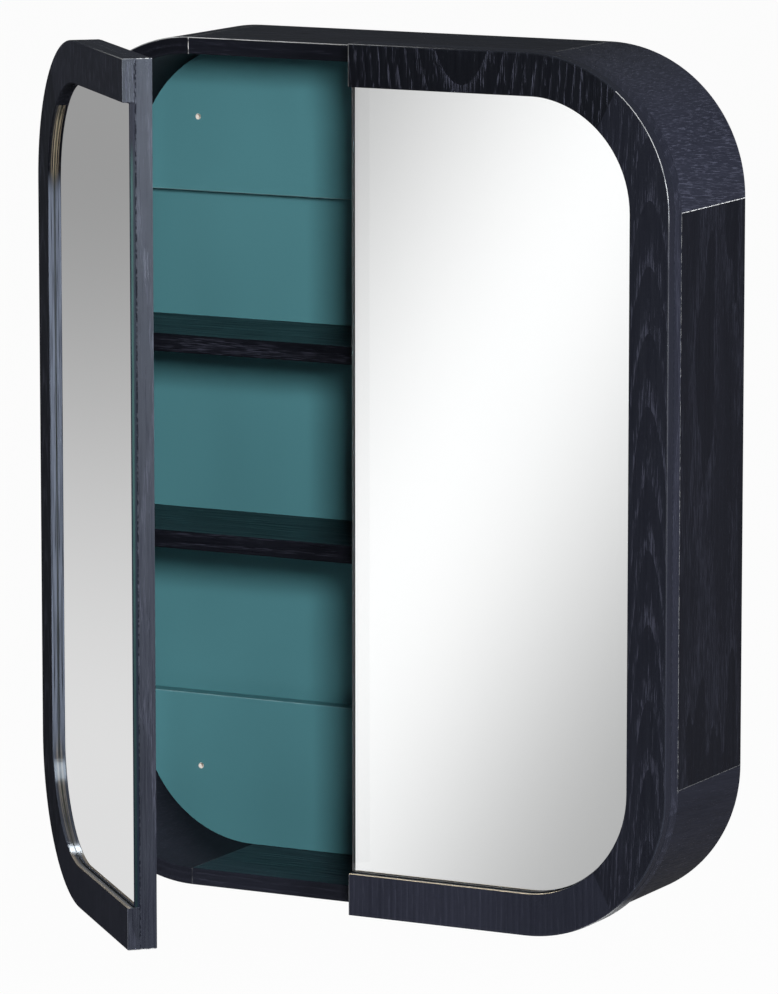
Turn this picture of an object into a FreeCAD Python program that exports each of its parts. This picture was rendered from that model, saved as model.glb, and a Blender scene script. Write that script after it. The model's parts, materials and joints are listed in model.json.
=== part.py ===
import FreeCAD, Part
import math
import os

# Two-door mirrored medicine cabinet with large round corners, hung on a wall.
# Sizes are in millimetres. The origin is the middle of the wall face,
# with +X to the right, +Y into the wall and +Z up.

# Door outline, both doors shut
door_outline_width = 610.0
door_outline_height = 762.0
door_corner_radius = 133.0
door_meeting_gap = 2.0
door_overhang = 4.0
door_back_gap = 4.0
left_door_open_deg = 46.0

# Door build-up
backing_thickness = 15.0
frame_thickness = 11.0
frame_band_width = 37.0
frame_joint_deg = 51.5
frame_joint_slope_deg = 62.0
mirror_thickness = 5.0
mirror_clearance = 0.4
mirror_seam = 0.5
arris_radius = 1.0
bumper_radius = 4.5
bumper_edge_radius = 1.2
bumper_inset = 24.0
bumper_clearance = 0.3

# Carcass
carcass_depth = 132.0
panel_thickness = 15.0
back_thickness = 5.0
back_clearance = 0.3
rebate_width = 8.0
hanging_rail_height = 134.0
hanging_rail_thickness = 15.0
hanging_rail_clearance = 0.3
wall_hole_diameter = 5.0
wall_hole_inset = 76.0
wall_hole_drop = 82.5
dowel_diameter = 6.0
dowel_length = 30.0
dowel_fit = 0.1
dowel_end_room = 0.5
dowel_setback = 35.0

# Shelves
upper_shelf_top = 114.0
lower_shelf_top = -61.0
shelf_thickness = 16.0
shelf_setback = 6.0
shelf_clearance = 0.8
lipping_depth = 6.0
shelf_pin_diameter = 5.0
shelf_pin_depth = 9.0
shelf_pin_fit = 0.05
shelf_pin_setback = 28.0
spade_length = 7.0
spade_width = 11.0
spade_thickness = 3.0

# Concealed hinges
hinge_drop = 182.0
cup_diameter = 35.0
cup_edge_distance = 4.0
cup_wall = 1.2
cup_floor = 0.7
cup_fit = 0.1
bore_floor = 1.3
flange_thickness = 1.2
flange_rim = 1.0
flange_ear_radius = 6.0
cup_screw_spacing = 48.0
cup_screw_offset = 6.0
hinge_pin_diameter = 2.5
hinge_pin_fit = 0.05
hinge_pin_end_room = 0.2
hinge_pin_wall_distance = 3.8
eye_diameter = 4.8
eye_room = 0.6
arm_neck_width = 10.0
arm_neck_thickness = 1.8
arm_tongue_width = 14.0
arm_tongue_front = 14.0
arm_thickness = 3.0
arm_bend_radius = 2.5
arm_reach = 60.0
plate_thickness = 3.2
plate_width = 16.0
plate_front = 18.0
plate_reach = 64.0
wing_thickness = 2.0
wing_radius = 6.0
wing_screw_spacing = 32.0
wing_screw_setback = 37.0
arm_screw_setback = 48.0
arm_screw_diameter = 4.8
arm_screw_head_diameter = 8.0
arm_screw_head_height = 2.2
arm_screw_room = 0.2

# Countersunk screws
screw_diameter = 3.0
screw_head_diameter = 6.0
screw_head_height = 1.6
screw_fit = 0.05
screw_tip_cover = 4.0
back_screw_length = 14.0
back_screw_pitch = 140.0

# Places that follow from the sizes above
door_half_width = door_outline_width / 2
door_half_height = door_outline_height / 2
carcass_half_width = door_half_width - door_overhang
carcass_half_height = door_half_height - door_overhang
carcass_corner_radius = door_corner_radius - door_overhang
inner_half_width = carcass_half_width - panel_thickness
inner_half_height = carcass_half_height - panel_thickness
inner_corner_radius = carcass_corner_radius - panel_thickness
corner_x = carcass_half_width - carcass_corner_radius
corner_z = carcass_half_height - carcass_corner_radius
carcass_front_y = -carcass_depth
door_back_y = carcass_front_y - door_back_gap
backing_front_y = door_back_y - backing_thickness
mirror_front_y = backing_front_y - mirror_thickness
door_front_y = backing_front_y - frame_thickness
hinge_z = carcass_half_height - hinge_drop
wall_hole_x = carcass_half_width - wall_hole_inset
wall_hole_z = carcass_half_height - wall_hole_drop
rail_front_y = -back_thickness - hanging_rail_thickness

# Hinge places, measured from the side panel's outer face and the carcass front
cup_radius = cup_diameter / 2
cup_inner_radius = cup_radius - cup_wall
cup_depth = backing_thickness - bore_floor
cup_u = cup_edge_distance + cup_radius - door_overhang
eye_radius = eye_diameter / 2
hinge_pin_u = cup_u - cup_inner_radius + hinge_pin_wall_distance
hinge_pin_v = door_back_gap + cup_depth - cup_floor - eye_room - eye_radius
arm_inner_u = panel_thickness + plate_thickness
arm_outer_u = arm_inner_u + arm_thickness

# An edge closer than this to a looked-for place is that edge
match_distance = 0.001


def point(x, y, z):
    return FreeCAD.Vector(x, y, z)


def box(low, high):
    size = point(*high).sub(point(*low))
    return Part.makeBox(size.x, size.y, size.z, point(*low))


def rod(radius, start, end):
    axis = end.sub(start)
    return Part.makeCylinder(radius, axis.Length, start, axis)


def prism(corners, travel):
    """Straight-sided solid: a closed outline pushed along a direction."""
    outline = Part.makePolygon(corners + corners[:1])
    return Part.Face(outline).extrude(travel)


def rounded_board(half_width, half_height, radius, front_y, back_y):
    """Upright board with four round corners between two depths."""
    arcs = []
    for side_x, side_z, start_deg in ((1, 1, 0), (-1, 1, 90), (-1, -1, 180), (1, -1, 270)):
        rim = []
        for step_deg in (0, 45, 90):
            angle = math.radians(start_deg + step_deg)
            x = side_x * (half_width - radius) + radius * math.cos(angle)
            z = side_z * (half_height - radius) + radius * math.sin(angle)
            rim.append(point(x, front_y, z))
        arcs.append(rim)
    edges = []
    for rim, next_rim in zip(arcs, arcs[1:] + arcs[:1]):
        edges.append(Part.Arc(*rim).toShape())
        edges.append(Part.makeLine(rim[-1], next_rim[0]))
    return Part.Face(Part.Wire(edges)).extrude(point(0, back_y - front_y, 0))


def edges_at_depth(solid, y):
    return [edge for edge in solid.Edges if abs(edge.CenterOfMass.y - y) < match_distance]


def edges_at_point(solid, middle):
    """Edges whose middle lies at one point."""
    return [
        edge for edge in solid.Edges if edge.CenterOfMass.distanceToPoint(middle) < match_distance
    ]


def eased(solid, y, radius):
    """Round every edge that lies at one depth."""
    return solid.makeFillet(radius, edges_at_depth(solid, y))


def stadium(radius, start, end, thickness):
    """Flat bar with round ends, as thick as the given vector is long."""
    ends = [rod(radius, centre, centre.add(thickness)) for centre in (start, end)]
    across = thickness.cross(end.sub(start)).normalize().multiply(radius)
    corners = [start.add(across), end.add(across), end.sub(across), start.sub(across)]
    return prism(corners, thickness).multiFuse(ends).removeSplitter()


def screw(start, axis, length, extra=0.0):
    """Countersunk screw with its head flush at the start; extra widens it to make its hole."""
    head = Part.makeCone(
        screw_head_diameter / 2 + extra, screw_diameter / 2 + extra, screw_head_height, start, axis
    )
    shank = Part.makeCylinder(screw_diameter / 2 + extra, length, start, axis)
    return head.fuse(shank).removeSplitter()


def mirrored(shape):
    return shape.mirror(point(0, 0, 0), point(1, 0, 0))


def both_sides(shapes):
    return shapes + [mirrored(shape) for shape in shapes]


def left_point(u, v, z):
    """Point given from the left side panel's outer face and the carcass front edge."""
    return point(-carcass_half_width + u, carcass_front_y - v, z)


into_door = point(0, -1, 0)
from_left_panel = point(1, 0, 0)
into_left_panel = point(-1, 0, 0)


# Corner dowels: two across each joint between a straight board and a round corner
def corner_dowels(radius, half_length):
    dowels = []
    mid_x = carcass_half_width - panel_thickness / 2
    mid_z = carcass_half_height - panel_thickness / 2
    for y in (carcass_front_y + dowel_setback, -dowel_setback):
        for side_x in (-1, 1):
            for side_z in (-1, 1):
                flat_joint = point(side_x * corner_x, y, side_z * mid_z)
                along_x = point(half_length, 0, 0)
                dowels.append(rod(radius, flat_joint.sub(along_x), flat_joint.add(along_x)))
                upright_joint = point(side_x * mid_x, y, side_z * corner_z)
                along_z = point(0, 0, half_length)
                dowels.append(rod(radius, upright_joint.sub(along_z), upright_joint.add(along_z)))
    return dowels


# Shelf pins: a round shank in the side panel and a flat spade under the shelf
def left_shelf_pins(extra=0.0):
    pins = []
    shelf_back_y = -back_thickness - shelf_clearance
    shelf_front_y = carcass_front_y + shelf_setback
    for shelf_top in (upper_shelf_top, lower_shelf_top):
        seat_z = shelf_top - shelf_thickness
        middle_z = seat_z - spade_thickness / 2
        for y in (shelf_front_y + shelf_pin_setback, shelf_back_y - shelf_pin_setback):
            face = left_point(panel_thickness, 0, middle_z)
            face.y = y
            bottom = face.add(into_left_panel * (shelf_pin_depth + extra))
            shank = rod(shelf_pin_diameter / 2 + extra, bottom, face)
            spade = box(
                (face.x, y - spade_width / 2, seat_z - spade_thickness),
                (face.x + spade_length, y + spade_width / 2, seat_z),
            )
            pins.append(shank.fuse(spade).removeSplitter())
    return pins


# Back panel screws: into the rebate all round, and into both hanging rails
def back_screws(extra=0.0):
    lap_x = inner_half_width + rebate_width / 2
    lap_z = inner_half_height + rebate_width / 2
    rail_z = inner_half_height - hanging_rail_height / 2
    spots = []
    for step in (-1, 0, 1):
        along = step * back_screw_pitch
        for side in (-1, 1):
            spots.append((along, side * lap_z))
            spots.append((along, side * rail_z))
            spots.append((side * lap_x, along))
    return [screw(point(x, 0, z), into_door, back_screw_length, extra) for x, z in spots]


# Hinge cup: thin round bowl let into the door, with a flange and two screw ears
def left_hinge_cup(z):
    flange_v = door_back_gap - flange_thickness
    mouth = left_point(cup_u, flange_v, z)
    rim = left_point(cup_u, door_back_gap, z)
    bowl = Part.makeCylinder(cup_radius, cup_depth, rim, into_door)
    collar = Part.makeCylinder(cup_radius + flange_rim, flange_thickness, mouth, into_door)
    ears = stadium(
        flange_ear_radius,
        left_point(cup_u + cup_screw_offset, flange_v, z - cup_screw_spacing / 2),
        left_point(cup_u + cup_screw_offset, flange_v, z + cup_screw_spacing / 2),
        into_door * flange_thickness,
    )
    hollow_depth = flange_thickness + cup_depth - cup_floor
    hollow = Part.makeCylinder(cup_inner_radius, hollow_depth, mouth, into_door)
    pin_hole = left_hinge_pin_axis(z, hinge_pin_diameter / 2 + hinge_pin_fit)
    solid = bowl.multiFuse([collar, ears]).cut(hollow).cut(pin_hole)
    return solid.cut(Part.makeCompound(left_cup_screws(z, screw_fit))).removeSplitter()


def left_cup_screws(z, extra=0.0):
    start_v = door_back_gap - flange_thickness
    length = flange_thickness + backing_thickness - screw_tip_cover
    screws = []
    for side in (-1, 1):
        start = left_point(cup_u + cup_screw_offset, start_v, z + side * cup_screw_spacing / 2)
        screws.append(screw(start, into_door, length, extra))
    return screws


def left_cup_bore(z):
    start = left_point(cup_u, door_back_gap, z)
    return Part.makeCylinder(cup_radius + cup_fit, cup_depth + cup_fit, start, into_door)


# Hinge pin: a round rod across the cup near its outer wall, dressed flush with the cup
def left_hinge_pin_axis(z, radius):
    reach = point(0, 0, cup_radius)
    middle = left_point(hinge_pin_u, hinge_pin_v, z)
    return rod(radius, middle.sub(reach), middle.add(reach))


def left_hinge_pin(z):
    start = left_point(cup_u, door_back_gap, z)
    inside_cup = Part.makeCylinder(cup_radius - hinge_pin_end_room, cup_depth, start, into_door)
    return left_hinge_pin_axis(z, hinge_pin_diameter / 2).common(inside_cup)


# Hinge arm: an eye on the pin, a goose neck out of the cup and a tongue on the mounting plate
def left_hinge_arm(z):
    half_width = arm_neck_width / 2
    front_v = hinge_pin_v + eye_radius
    neck_back_v = front_v - arm_neck_thickness
    outline = (
        (hinge_pin_u, front_v),
        (arm_outer_u, front_v),
        (arm_outer_u, -arm_tongue_front),
        (arm_inner_u, -arm_tongue_front),
        (arm_inner_u, neck_back_v),
        (hinge_pin_u, neck_back_v),
    )
    corners = [left_point(u, v, z - half_width) for u, v in outline]
    neck = prism(corners, point(0, 0, arm_neck_width))
    bend = left_point(arm_outer_u, front_v, z)
    neck = neck.makeFillet(arm_bend_radius, edges_at_point(neck, bend))
    eye_end = point(0, 0, half_width)
    middle = left_point(hinge_pin_u, hinge_pin_v, z)
    eye = rod(eye_radius, middle.sub(eye_end), middle.add(eye_end))
    tongue_radius = arm_tongue_width / 2
    tongue = stadium(
        tongue_radius,
        left_point(arm_inner_u, -arm_tongue_front - tongue_radius, z),
        left_point(arm_inner_u, -arm_reach + tongue_radius, z),
        from_left_panel * arm_thickness,
    )
    shoulder = box(
        tuple(left_point(arm_inner_u, -arm_tongue_front, z - half_width)),
        tuple(left_point(arm_outer_u, -arm_tongue_front - tongue_radius, z + half_width)),
    )
    pin_hole = left_hinge_pin_axis(z, hinge_pin_diameter / 2 + hinge_pin_fit)
    screw_start = left_point(arm_inner_u, -arm_screw_setback, z)
    screw_hole = Part.makeCylinder(
        arm_screw_diameter / 2 + arm_screw_room, arm_thickness, screw_start, from_left_panel
    )
    solid = neck.multiFuse([eye, shoulder, tongue]).cut(pin_hole).cut(screw_hole)
    return solid.removeSplitter()


# Mounting plate: a bar under the arm's tongue with two screw wings on the side panel
def left_mounting_plate(z):
    half_width = plate_width / 2
    bar = stadium(
        half_width,
        left_point(panel_thickness, -plate_front - half_width, z),
        left_point(panel_thickness, -plate_reach + half_width, z),
        from_left_panel * plate_thickness,
    )
    wings = stadium(
        wing_radius,
        left_point(panel_thickness, -wing_screw_setback, z - wing_screw_spacing / 2),
        left_point(panel_thickness, -wing_screw_setback, z + wing_screw_spacing / 2),
        from_left_panel * wing_thickness,
    )
    screw_hole = Part.makeCylinder(
        arm_screw_diameter / 2 + screw_fit,
        plate_thickness,
        left_point(panel_thickness, -arm_screw_setback, z),
        from_left_panel,
    )
    solid = bar.fuse(wings).cut(screw_hole)
    return solid.cut(Part.makeCompound(left_plate_screws(z, screw_fit))).removeSplitter()


def left_plate_screws(z, extra=0.0):
    length = wing_thickness + panel_thickness - screw_tip_cover
    screws = []
    for side in (-1, 1):
        start = left_point(
            panel_thickness + wing_thickness, -wing_screw_setback, z + side * wing_screw_spacing / 2
        )
        screws.append(screw(start, into_left_panel, length, extra))
    return screws


def left_arm_screw(z):
    seat = left_point(arm_outer_u, -arm_screw_setback, z)
    head = Part.makeCylinder(
        arm_screw_head_diameter / 2, arm_screw_head_height, seat, from_left_panel
    )
    shank_length = arm_thickness + plate_thickness - arm_screw_room
    shank = Part.makeCylinder(arm_screw_diameter / 2, shank_length, seat, into_left_panel)
    return head.fuse(shank).removeSplitter()


# Carcass ring: straight boards and round corners cut from one rounded frame
def carcass_ring():
    outer = rounded_board(
        carcass_half_width, carcass_half_height, carcass_corner_radius, carcass_front_y, 0
    )
    inner = rounded_board(
        inner_half_width, inner_half_height, inner_corner_radius, carcass_front_y, 0
    )
    rebate = rounded_board(
        inner_half_width + rebate_width,
        inner_half_height + rebate_width,
        inner_corner_radius + rebate_width,
        -back_thickness,
        0,
    )
    ring = eased(outer.cut(inner), carcass_front_y, arris_radius).cut(rebate)
    holes = corner_dowels(dowel_diameter / 2 + dowel_fit, dowel_length / 2 + dowel_end_room)
    holes += back_screws(screw_fit)
    holes += both_sides(left_shelf_pins(shelf_pin_fit))
    for z in (hinge_z, -hinge_z):
        holes += both_sides(left_plate_screws(z, screw_fit))
    return ring.cut(Part.makeCompound(holes))


def carcass_boards():
    ring = carcass_ring()
    front = carcass_front_y
    end_x = carcass_half_width
    end_z = carcass_half_height
    regions = {
        "top_panel": ((-corner_x, front, corner_z), (corner_x, 0, end_z)),
        "bottom_panel": ((-corner_x, front, -end_z), (corner_x, 0, -corner_z)),
        "left_side_panel": ((-end_x, front, -corner_z), (-corner_x, 0, corner_z)),
        "right_side_panel": ((corner_x, front, -corner_z), (end_x, 0, corner_z)),
        "top_left_corner": ((-end_x, front, corner_z), (-corner_x, 0, end_z)),
        "top_right_corner": ((corner_x, front, corner_z), (end_x, 0, end_z)),
        "bottom_left_corner": ((-end_x, front, -end_z), (-corner_x, 0, -corner_z)),
        "bottom_right_corner": ((corner_x, front, -end_z), (end_x, 0, -corner_z)),
    }
    return {name: ring.common(box(low, high)) for name, (low, high) in regions.items()}


# Back panel and the two hanging rails, with the wall screw holes through both
def wall_holes():
    holes = []
    for side_x in (-1, 1):
        for side_z in (-1, 1):
            start = point(side_x * wall_hole_x, 0, side_z * wall_hole_z)
            end = point(start.x, rail_front_y, start.z)
            holes.append(rod(wall_hole_diameter / 2, start, end))
    return holes


def back_panel_and_rails():
    reach = rebate_width - back_clearance
    panel = rounded_board(
        inner_half_width + reach,
        inner_half_height + reach,
        inner_corner_radius + reach,
        -back_thickness,
        0,
    )
    fill = rounded_board(
        inner_half_width - hanging_rail_clearance,
        inner_half_height - hanging_rail_clearance,
        inner_corner_radius - hanging_rail_clearance,
        rail_front_y,
        -back_thickness,
    )
    holes = Part.makeCompound(wall_holes() + back_screws(screw_fit))
    rails = {}
    for name, side in (("upper_hanging_rail", 1), ("lower_hanging_rail", -1)):
        outer_z = side * inner_half_height
        inner_z = side * (inner_half_height - hanging_rail_height)
        low = (-inner_half_width, rail_front_y, min(outer_z, inner_z))
        high = (inner_half_width, -back_thickness, max(outer_z, inner_z))
        rail = fill.common(box(low, high))
        free_edge = point(0, rail_front_y, inner_z)
        rails[name] = rail.makeFillet(arris_radius, edges_at_point(rail, free_edge)).cut(holes)
    return {"back_panel": panel.cut(holes), **rails}


# Shelves: a veneered board with a solid oak lipping glued to its front edge
def shelf_boards():
    half_width = inner_half_width - shelf_clearance
    front_y = carcass_front_y + shelf_setback
    joint_y = front_y + lipping_depth
    back_y = -back_thickness - shelf_clearance
    boards = {}
    for name, top in (("upper_shelf", upper_shelf_top), ("lower_shelf", lower_shelf_top)):
        bottom = top - shelf_thickness
        boards[name] = box((-half_width, joint_y, bottom), (half_width, back_y, top))
        lipping = box((-half_width, front_y, bottom), (half_width, joint_y, top))
        long_edges = []
        for z in (bottom, top):
            long_edges += edges_at_point(lipping, point(0, front_y, z))
        boards[name + "_lipping"] = lipping.makeFillet(arris_radius, long_edges)
    return boards


# Left door, shut: backing panel, three frame pieces with slanted joints, mirror and bumpers
def left_frame_pieces():
    opening_half_width = door_half_width - frame_band_width
    opening_half_height = door_half_height - frame_band_width
    opening_radius = door_corner_radius - frame_band_width
    outer = rounded_board(
        door_half_width, door_half_height, door_corner_radius, door_front_y, backing_front_y
    )
    opening = rounded_board(
        opening_half_width, opening_half_height, opening_radius, door_front_y, backing_front_y
    )
    band = eased(outer.cut(opening), door_front_y, arris_radius)
    free_x = -door_meeting_gap / 2
    far_x = -door_half_width - frame_band_width
    depth = point(0, frame_thickness, 0)

    def spot(x, z):
        return point(x, door_front_y, z)

    # The joint between rail and stile, run on past the outline and into the opening
    along_outline = math.radians(frame_joint_deg)
    slope = math.radians(frame_joint_slope_deg)
    run_on = 2 * frame_band_width
    joint = spot(
        -corner_x - door_corner_radius * math.cos(along_outline),
        corner_z + door_corner_radius * math.sin(along_outline),
    )
    joint_run = spot(-math.cos(slope), math.sin(slope)).sub(spot(0, 0)) * run_on
    start = joint.sub(joint_run)
    end = joint.add(joint_run)

    def rail_region(side):
        return prism(
            [
                spot(start.x, side * start.z),
                spot(end.x, side * end.z),
                spot(free_x, side * end.z),
                spot(free_x, side * start.z),
            ],
            depth,
        )

    stile_region = prism(
        [
            start,
            end,
            spot(far_x, end.z),
            spot(far_x, -end.z),
            spot(end.x, -end.z),
            spot(start.x, -start.z),
        ],
        depth,
    )
    return {
        "frame_top_rail": band.common(rail_region(1)),
        "frame_stile": band.common(stile_region),
        "frame_bottom_rail": band.common(rail_region(-1)),
    }


def left_door_nodes():
    free_x = -door_meeting_gap / 2
    left_half = box(
        (-door_half_width, door_front_y, -door_half_height), (free_x, door_back_y, door_half_height)
    )
    backing = rounded_board(
        door_half_width, door_half_height, door_corner_radius, backing_front_y, door_back_y
    )
    backing = eased(backing, door_back_y, arris_radius).common(left_half)
    inset = frame_band_width + mirror_clearance
    mirror = rounded_board(
        door_half_width - inset,
        door_half_height - inset,
        door_corner_radius - inset,
        mirror_front_y,
        backing_front_y,
    ).common(left_half)
    mirror = mirror.makeChamfer(mirror_seam, edges_at_depth(mirror, mirror_front_y))
    bumpers = []
    bumper_x = free_x - bumper_inset
    bumper_back_y = door_back_y + door_back_gap - bumper_clearance
    for side in (-1, 1):
        bumper_z = side * (carcass_half_height - panel_thickness / 2)
        start = point(bumper_x, door_back_y, bumper_z)
        bumper = rod(bumper_radius, start, point(bumper_x, bumper_back_y, bumper_z))
        bumpers.append(eased(bumper, bumper_back_y, bumper_edge_radius))
    nodes = {}
    screws = []
    pins = []
    for name, z in (("upper", hinge_z), ("lower", -hinge_z)):
        holes = [left_cup_bore(z)] + left_cup_screws(z, screw_fit)
        backing = backing.cut(Part.makeCompound(holes))
        nodes[name + "_hinge_cup"] = left_hinge_cup(z)
        screws += left_cup_screws(z)
        pins.append(left_hinge_pin(z))
    nodes["door_backing"] = backing
    nodes.update(left_frame_pieces())
    nodes["mirror"] = mirror
    nodes["hinge_pins"] = Part.makeCompound(pins)
    nodes["cup_screws"] = Part.makeCompound(screws)
    nodes["door_bumpers"] = Part.makeCompound(bumpers)
    return nodes


# Fixed hinge pieces on the left side panel
def left_hinge_fixings():
    nodes = {}
    for name, z in (("upper", hinge_z), ("lower", -hinge_z)):
        nodes[name + "_hinge_arm"] = left_hinge_arm(z)
        nodes[name + "_mounting_plate"] = left_mounting_plate(z)
    plate_screws = left_plate_screws(hinge_z) + left_plate_screws(-hinge_z)
    arm_screws = [left_arm_screw(hinge_z), left_arm_screw(-hinge_z)]
    nodes["plate_screws"] = Part.makeCompound(plate_screws)
    nodes["arm_screws"] = Part.makeCompound(arm_screws)
    return nodes


# Assembly: the left door stands open about its pins, and the right side mirrors the left
pieces = carcass_boards()
pieces.update(back_panel_and_rails())
pieces.update(shelf_boards())
pieces["corner_dowels"] = Part.makeCompound(corner_dowels(dowel_diameter / 2, dowel_length / 2))
pieces["back_panel_screws"] = Part.makeCompound(back_screws())
pieces["shelf_pins"] = Part.makeCompound(both_sides(left_shelf_pins()))

for name, shape in left_hinge_fixings().items():
    pieces["left_" + name] = shape
    pieces["right_" + name] = mirrored(shape)

hinge_axis_point = left_point(hinge_pin_u, hinge_pin_v, 0)
for name, shape in left_door_nodes().items():
    pieces["left_" + name] = shape.rotated(hinge_axis_point, point(0, 0, 1), -left_door_open_deg)
    pieces["right_" + name] = mirrored(shape)

os.makedirs("parts", exist_ok=True)
for name, shape in pieces.items():
    shape.exportStep("parts/" + name + ".step")
print("left hinge axis", hinge_axis_point.x, hinge_axis_point.y)
print("pieces written", len(pieces))
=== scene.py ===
import json
import math

import bpy
import numpy as np
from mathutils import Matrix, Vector


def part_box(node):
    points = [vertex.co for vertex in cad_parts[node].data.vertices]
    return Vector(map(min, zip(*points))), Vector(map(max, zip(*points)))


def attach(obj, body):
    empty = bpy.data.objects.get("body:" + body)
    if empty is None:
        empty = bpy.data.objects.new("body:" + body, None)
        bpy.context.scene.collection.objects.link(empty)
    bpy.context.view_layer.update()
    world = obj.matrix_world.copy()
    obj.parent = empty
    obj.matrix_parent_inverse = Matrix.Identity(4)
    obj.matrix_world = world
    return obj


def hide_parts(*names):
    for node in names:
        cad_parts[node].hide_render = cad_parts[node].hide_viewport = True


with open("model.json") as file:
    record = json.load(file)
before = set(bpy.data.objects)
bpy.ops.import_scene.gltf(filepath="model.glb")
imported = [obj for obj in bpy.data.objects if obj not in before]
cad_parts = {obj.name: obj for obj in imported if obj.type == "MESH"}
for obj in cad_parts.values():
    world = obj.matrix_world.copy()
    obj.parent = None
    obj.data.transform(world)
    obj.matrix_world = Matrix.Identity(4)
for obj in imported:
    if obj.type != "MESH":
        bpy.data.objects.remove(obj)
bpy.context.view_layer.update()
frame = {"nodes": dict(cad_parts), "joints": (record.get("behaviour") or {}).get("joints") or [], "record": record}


# Carcass side panels
# Two upright boards veneered with oak and stained blue-black inside and out, grain up and down.
# Dowels and glue hold each to a round corner above and below. A broken pale line in those joints
# and along the front arrises is wear of the stain and a painted highlight, stronger towards the top.
carcass_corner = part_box("top_right_corner")[1]
carcass_half_width = carcass_corner.x
carcass_half_height = carcass_corner.z
carcass_front_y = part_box("top_panel")[0].y
corner_joint_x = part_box("top_panel")[1].x
corner_joint_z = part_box("right_side_panel")[1].z
carcass_corner_radius = carcass_half_width - corner_joint_x
board_thickness = carcass_half_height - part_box("top_panel")[0].z
arris = 0.001
joint_half = 0.0004


def chip(red, green, blue):
    """A colour in everyday 0 to 255 values, as the linear colour that the shaders mix."""
    shares = [value / 255 for value in (red, green, blue)]
    return tuple(s / 12.92 if s < 0.04045 else ((s + 0.055) / 1.055) ** 2.4 for s in shares) + (1.0,)


oak_black = chip(13, 14, 20)
oak_grey = chip(28, 29, 37)
oak_pore = chip(54, 55, 66)
# Pale colour for wear on edges and joints, and for painted highlights and a painted reflection.
pale_wear_and_sheen = chip(196, 196, 194)
cool_wax = (0.80, 0.89, 1.0, 1.0)


def put(tree, kind, sockets=(), **switches):
    """Add a shader node. Each socket takes a plain value or the output that feeds it."""
    node = tree.nodes.new("ShaderNode" + kind)
    for name, value in switches.items():
        setattr(node, name, value)
    for name, value in dict(sockets).items():
        if isinstance(value, bpy.types.NodeSocket):
            tree.links.new(value, node.inputs[name])
        else:
            node.inputs[name].default_value = value
    return node


def reckon(tree, operation, *values):
    """One step of arithmetic on shader values."""
    return put(tree, "Math", enumerate(values), operation=operation).outputs[0]


def times(tree, first, *others):
    """Product of two or more shares."""
    for other in others:
        first = reckon(tree, "MULTIPLY", first, other)
    return first


def rise(tree, value, low, high):
    """0 at low, 1 at high, and an S-shaped climb between them. Low may be the larger."""
    sockets = {"Value": value, "From Min": low, "From Max": high}
    return put(tree, "MapRange", sockets, interpolation_type="SMOOTHSTEP").outputs[0]


def near(tree, value, middle, half):
    """1 where a value is at the middle, falling to 0 at half away from it."""
    off = reckon(tree, "ABSOLUTE", reckon(tree, "SUBTRACT", value, middle))
    return rise(tree, off, half, half * 0.4)


def tint(tree, share, under, over):
    """Colour that goes from under to over as the share goes from 0 to 1."""
    return put(tree, "Mix", {0: share, 6: under, 7: over}, data_type="RGBA").outputs[2]


def noise(tree, place, fineness, detail=2.0):
    """Noise with its own fineness, in waves per metre, along each axis."""
    scaled = put(tree, "VectorMath", {0: place, 1: fineness}, operation="MULTIPLY").outputs[0]
    return put(tree, "TexNoise", {"Vector": scaled, "Scale": 1.0, "Detail": detail}).outputs[0]


def start_finish(name):
    """A new finish and its empty node tree."""
    material = bpy.data.materials.new(name)
    material.use_nodes = True
    material.node_tree.nodes.clear()
    return material, material.node_tree


def end_finish(tree, sockets, height=None, relief=0.0001):
    """Join the finish's sockets to one surface shader, with an optional height for its relief."""
    sockets = dict(sockets)
    if height is not None:
        bump = put(tree, "Bump", {"Height": height, "Strength": 0.6, "Distance": relief})
        sockets["Normal"] = bump.outputs[0]
    shader = put(tree, "BsdfPrincipled", sockets)
    put(tree, "OutputMaterial", {"Surface": shader.outputs[0]})


def own_place(tree):
    """The shaded point's place on the cabinet, as the cabinet stands at rest."""
    return put(tree, "TexCoord").outputs["Object"]


def deepened(colour, tone):
    """A colour times a factor, which darkens it below 1."""
    return tuple(share * tone for share in colour[:3]) + (1.0,)


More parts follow.
